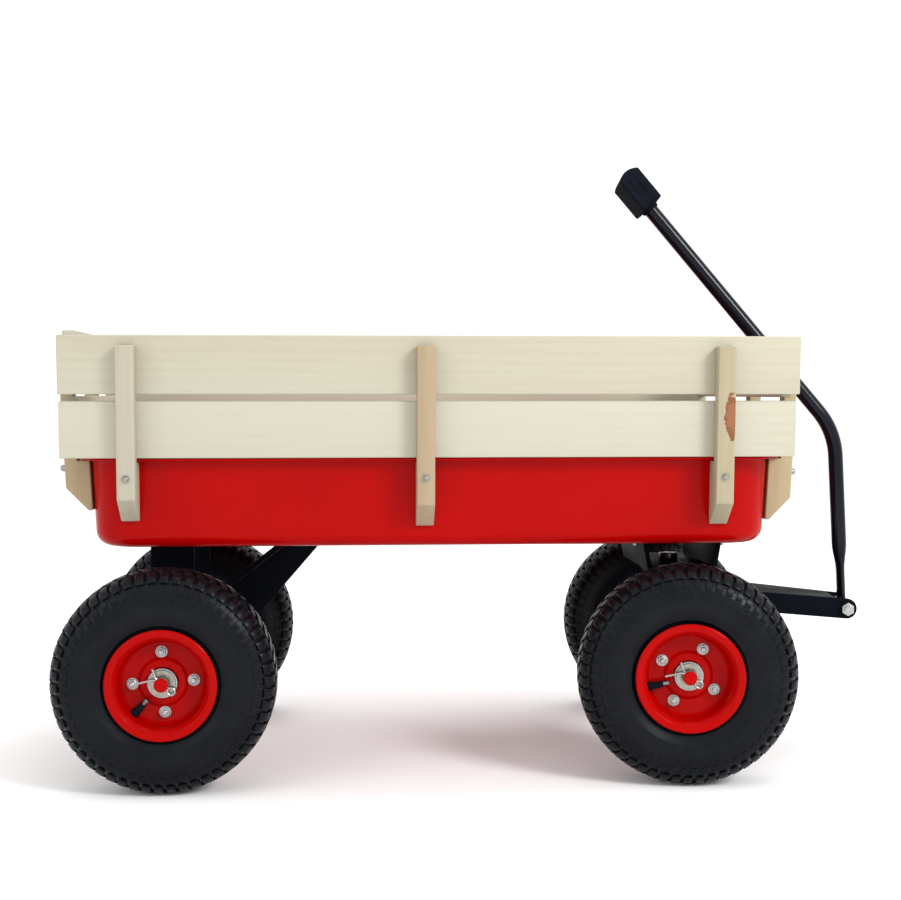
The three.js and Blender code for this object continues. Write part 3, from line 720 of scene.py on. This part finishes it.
OUTWARD = {"left": (0, 1, 0), "right": (0, -1, 0), "front": (1, 0, 0), "rear": (-1, 0, 0)}
SLAT_EASE = 1.3
STAKE_EASE = 1.6


def build_rails():
    """Every slat and stake, each cut from a board of its own."""
    for seed, node in enumerate(sorted(n for n in frame["nodes"] if "_slat_" in n)):
        along = 0 if node.startswith(("left", "right")) else 1
        wood = pine(f"{node}_pine", along, 2, seed + 1, SLAT_COLOUR, SLAT_DARK)
        eased(node, "board", SLAT_EASE, wood, "wagon_body")
    for seed, node in enumerate(sorted(n for n in frame["nodes"] if "_stake_" in n)):
        colour = STAKE_COLOURS.get(node, STAKE_COLOURS["other"])
        dark = tuple(c * k for c, k in zip(colour, STAKE_DARKEN))
        across = 0 if node.startswith(("left", "right")) else 1
        knots = [front_stake_knot()] if node == "right_stake_front" else []
        wood = pine(f"{node}_pine", 2, across, seed + 30, colour, dark, knots)
        eased(node, "post", STAKE_EASE, wood, "wagon_body", reshape=foot_lifter(node))


def foot_lifter(node):
    """A change that draws a stake's foot up along the leaning wall."""
    side, _, _ = node.partition("_")
    lift = STAKE_FOOT_LIFT.get(node, STAKE_FOOT_LIFT[side]) * MM
    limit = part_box(node)[0].z + STAKE_CUT_HEIGHT * MM
    slide = (Vector((0, 0, 1)) + Vector(OUTWARD[side]) * math.tan(LEAN)) * lift

    def reshape(bm):
        for vertex in bm.verts:
            if vertex.co.z < limit:
                vertex.co += slide
    return reshape


def front_stake_knot():
    """The centre and radius of the knot on the right front stake's outer face."""
    low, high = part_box("right_stake_front")
    return ((high.x - KNOT_INSET * MM, low.y, (WAGON.translation.z + KNOT_Z) * MM), KNOT_RADIUS * MM)


def stake_bolts():
    """A screw head on each stake's outer face, near its foot."""
    shells = []
    for node in sorted(n for n in frame["nodes"] if "_stake_" in n):
        low, high = (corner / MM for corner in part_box(node))
        middle = (low + high) / 2
        side, _, _ = node.partition("_")
        z = WAGON.translation.z + STAKE_HEAD_Z[side]
        reach = STAKE_DEPTH[side] + (z - low.z) * math.sin(LEAN)
        foot = {"left": low.y, "right": high.y, "front": low.x, "rear": high.x}[side]
        out = Vector(OUTWARD[side])
        point = Vector((middle.x, middle.y, z))
        axis = 0 if out.x else 1
        point[axis] = foot + sum(out) * reach
        tilt = (out * math.cos(LEAN) + Vector((0, 0, -1)) * math.sin(LEAN)).normalized()
        shells.append(moved(pan_head(*STAKE_HEAD_SIZE[side]), aimed(Matrix.Identity(4), point, tilt)))
    return combined(shells)


# ---- Handle ----------------------------------------------------------------------------------------
HINGE = Vector((229, 0, 181))
TUBE_BEND = Vector((217.5, 0, 412))
TUBE_TOP = Vector((-43, 0, 724))
BEND_RUN = 34
TUBE_RADIUS = 9.5
SLEEVE_RADIUS = 11.5
SLEEVE_HALF = 27
SLEEVE_BORE = 5.3
FLAT_LENGTH = 48
FLAT_BLEND = 34
FLAT_HALF_THICKNESS = 5.4
FLAT_HALF_WIDTH = 12
GRIP_SOCKET = 20


def tube_path():
    """Points up the tube from the sleeve to the grip, close together round the bend."""
    lower = (TUBE_BEND - HINGE).normalized()
    upper = (TUBE_TOP - TUBE_BEND).normalized()
    start, end = TUBE_BEND - lower * BEND_RUN, TUBE_BEND + upper * BEND_RUN
    foot = HINGE + lower * (SLEEVE_RADIUS - 4)
    straight = [foot.lerp(start, k / 24) for k in range(24)]
    bend = [start.lerp(TUBE_BEND, k / 16).lerp(TUBE_BEND.lerp(end, k / 16), k / 16) for k in range(17)]
    run = [end.lerp(TUBE_TOP, k / 6) for k in range(1, 7)]
    return [*straight, *bend, *run]


def tube_shell(sides=36):
    """The pull tube: round, with its foot pressed flat where it meets the hinge sleeve."""
    path = tube_path()
    across = Vector((0, 1, 0))
    rings = []
    for i, point in enumerate(path):
        fore = across.cross(heading(path, i))
        share = max(0, min(1, ((point - HINGE).length - FLAT_LENGTH) / FLAT_BLEND))
        share = share * share * (3 - 2 * share)
        thick = FLAT_HALF_THICKNESS + (TUBE_RADIUS - FLAT_HALF_THICKNESS) * share
        wide = FLAT_HALF_WIDTH + (TUBE_RADIUS - FLAT_HALF_WIDTH) * share
        angles = full_turn(sides)
        rings.append([point + fore * thick * math.cos(a) + across * wide * math.sin(a) for a in angles])
    profile = [
        (SLEEVE_BORE, -SLEEVE_HALF), (SLEEVE_RADIUS, -SLEEVE_HALF), (SLEEVE_RADIUS, SLEEVE_HALF),
        (SLEEVE_BORE, SLEEVE_HALF),
    ]
    sleeve = turned(filleted(profile, 0.9, 3), ring=True)
    return combined([loft(rings), moved(sleeve, Matrix.Translation(HINGE))])


GRIP_HALF_BAR = 52
GRIP_HALF_DEPTH = 15
GRIP_FOOT, GRIP_SHOULDER, GRIP_CROWN = -4.5, 43.5, 49.5
GRIP_ENDS = [(0, 0.90), (1.2, 0.95), (4, 0.985), (9, 1.0)]  # (distance in from an end, share of the section)
GRIP_NECK = [(10.6, -9), (11.4, -8), (11.6, -6.5), (12.4, -4.5), (13.5, 0.5)]
RIB_X = (-4.5, 4.5)
RIB_Z = (2, 5, 20, 35, 38)
RIB_RADIUS = 1.5


def grip_place():
    """The grip's frame: z along the tube's upper run, y along the bar."""
    upper = (TUBE_TOP - TUBE_BEND).normalized()
    tilt = math.atan2(upper.x, upper.z)
    return STEERED @ Matrix.Translation(TUBE_TOP - upper * GRIP_SOCKET) @ Matrix.Rotation(tilt, 4, "Y")


def grip_section(share):
    """(x, z) of the bar's section: straight sides and an arched top, drawn in towards its middle by share."""
    arch = []
    for step in range(1, 12):
        x = GRIP_HALF_DEPTH * (1 - step / 6)
        arch.append((x, GRIP_SHOULDER + (GRIP_CROWN - GRIP_SHOULDER) * (1 - (x / GRIP_HALF_DEPTH) ** 2)))
    corners = [
        (-GRIP_HALF_DEPTH, GRIP_FOOT), (GRIP_HALF_DEPTH, GRIP_FOOT), (GRIP_HALF_DEPTH, GRIP_SHOULDER),
        *arch, (-GRIP_HALF_DEPTH, GRIP_SHOULDER),
    ]
    middle = (GRIP_FOOT + GRIP_CROWN) / 2
    return [(x * share, middle + (z - middle) * share) for x, z in filleted(corners, 2.2, 4)]


def grip_shell():
    """A moulded cross bar with rounded ends and two ribs on each end face, on a short neck."""
    stations = [(inward - GRIP_HALF_BAR, share) for inward, share in GRIP_ENDS]
    stations += [(GRIP_HALF_BAR - inward, share) for inward, share in reversed(GRIP_ENDS)]
    bar = loft([[(x, y, z) for x, z in grip_section(share)] for y, share in stations])
    up = Matrix.Rotation(math.pi / 2, 4, "X")
    shells = [bar, moved(turned(filleted(GRIP_NECK, 0.8, 3, loop=False)), up)]
    for side in (-1, 1):
        for x in RIB_X:
            rib = [(x, side * (GRIP_HALF_BAR - 0.7), z) for z in RIB_Z]
            shells.append(swept(rib, RIB_RADIUS, 14))
    return combined(shells)


# ---- Assembly --------------------------------------------------------------------------------------
def build_wagon():
    for corner in CORNERS:
        build_wheel(corner)
    up = Matrix.Translation((0, 0, TYRE_RADIUS))
    piece("rear_axle_bar", axle_shell(), REAR @ up, ZINC, "wagon_body", ["rear_axle"])
    piece("front_axle_bar", axle_shell(), STEERED @ up, ZINC, "steering", ["front_axle"])
    piece("tray_pressing", tray_shell(), WAGON, RED, "wagon_body", ["tray"])
    piece("floor_bolts", floor_fasteners(), Matrix.Identity(4), ZINC, "wagon_body")
    build_rails()
    piece("stake_bolts", stake_bolts(), Matrix.Identity(4), DULL_ZINC, "wagon_body")
    for node in ("rear_bracket", "rear_brace_left", "rear_brace_right", "front_bolster"):
        eased(node, "painted", 0.9, FRAME_BLACK, "wagon_body")
    for node in ("king_bolt", "thrust_washer"):
        eased(node, "plated", 0.7, ZINC, "wagon_body")
    for node in ("steering_bracket", "tongue"):
        eased(node, "painted", 0.9, FRAME_BLACK, "steering")
    eased("hinge_bolt", "plated", 0.8, ZINC, "steering")
    piece("pull_tube", tube_shell(), STEERED, TUBE_BLACK, "handle", ["handle_tube"])
    piece("grip_moulding", grip_shell(), grip_place(), PLASTIC, "handle", ["handle_grip"])


# ---- Studio ----------------------------------------------------------------------------------------
FLOOR_RADIUS = 25  # this and the lamps are in metres
FLOOR_TONES = ((0.90,) * 3, (0.93,) * 3)
SKY_STRENGTH = 1.1
LAMP_TARGET = Vector((0, 0, 0.3))

# (name, place, size, power in watts)
LAMPS = [
    ("key", (2.3, -2.6, 2.3), 1.1, 100),
    ("fill", (-2.6, -2.0, 1.6), 1.6, 16),
    ("top", (0.2, 0.6, 3.0), 2.0, 36),
]

# The camera that was fitted to the photograph, in the wagon's own place.
CAMERA_POINT = Vector((-94.7, -1890.5, 461.6))
CAMERA_YAW = -0.0648
CAMERA_PITCH = -0.0393
CAMERA_ROLL = 0.0001
CAMERA_LENS = 57.72
SENSOR = 36


def build_studio():
    """A pale floor under a bright, even sky, with soft lamps to the right, the left and above."""
    ground = WAGON.translation.z * MM
    points = [(FLOOR_RADIUS * math.cos(a), FLOOR_RADIUS * math.sin(a), ground) for a in full_turn(64)]
    mesh = bpy.data.meshes.new("floor")
    mesh.from_pydata(points, [], [tuple(range(len(points)))])
    surface = Surface("pale_floor", Roughness=0.9, Specular_IOR_Level=0.0)
    surface.set("Base Color", surface.ramp(surface.noise(3, 2), list(zip((0.2, 0.8), FLOOR_TONES))))
    mesh.materials.append(surface.material)
    floor = bpy.data.objects.new("floor", mesh)
    bpy.context.scene.collection.objects.link(floor)

    world = bpy.data.worlds.new("studio")
    world.use_nodes = True
    background = world.node_tree.nodes["Background"]
    background.inputs["Color"].default_value = (1, 1, 1, 1)
    background.inputs["Strength"].default_value = SKY_STRENGTH
    bpy.context.scene.world = world

    for name, place, size, power in LAMPS:
        light = bpy.data.lights.new(name, "AREA")
        light.shape = "SQUARE"
        light.size = size
        light.energy = power
        lamp = bpy.data.objects.new(name, light)
        lamp.location = place
        lamp.rotation_euler = (LAMP_TARGET - Vector(place)).to_track_quat("-Z", "Y").to_euler()
        bpy.context.scene.collection.objects.link(lamp)


def build_camera():
    """The camera, where the photograph was taken from."""
    camera = bpy.data.cameras.new("camera")
    camera.sensor_width = SENSOR
    camera.lens = CAMERA_LENS
    camera.clip_start, camera.clip_end = 0.05, 200
    turn = (Matrix.Rotation(CAMERA_YAW, 4, "Z") @ Matrix.Rotation(math.pi / 2 + CAMERA_PITCH, 4, "X")
            @ Matrix.Rotation(-CAMERA_ROLL, 4, "Z"))
    eye = bpy.data.objects.new("camera", camera)
    eye.matrix_world = Matrix.Translation((WAGON @ CAMERA_POINT) * MM) @ turn
    bpy.context.scene.collection.objects.link(eye)
    bpy.context.scene.camera = eye


build_wagon()
build_studio()
build_camera()
bpy.context.scene.view_settings.view_transform = "Standard"
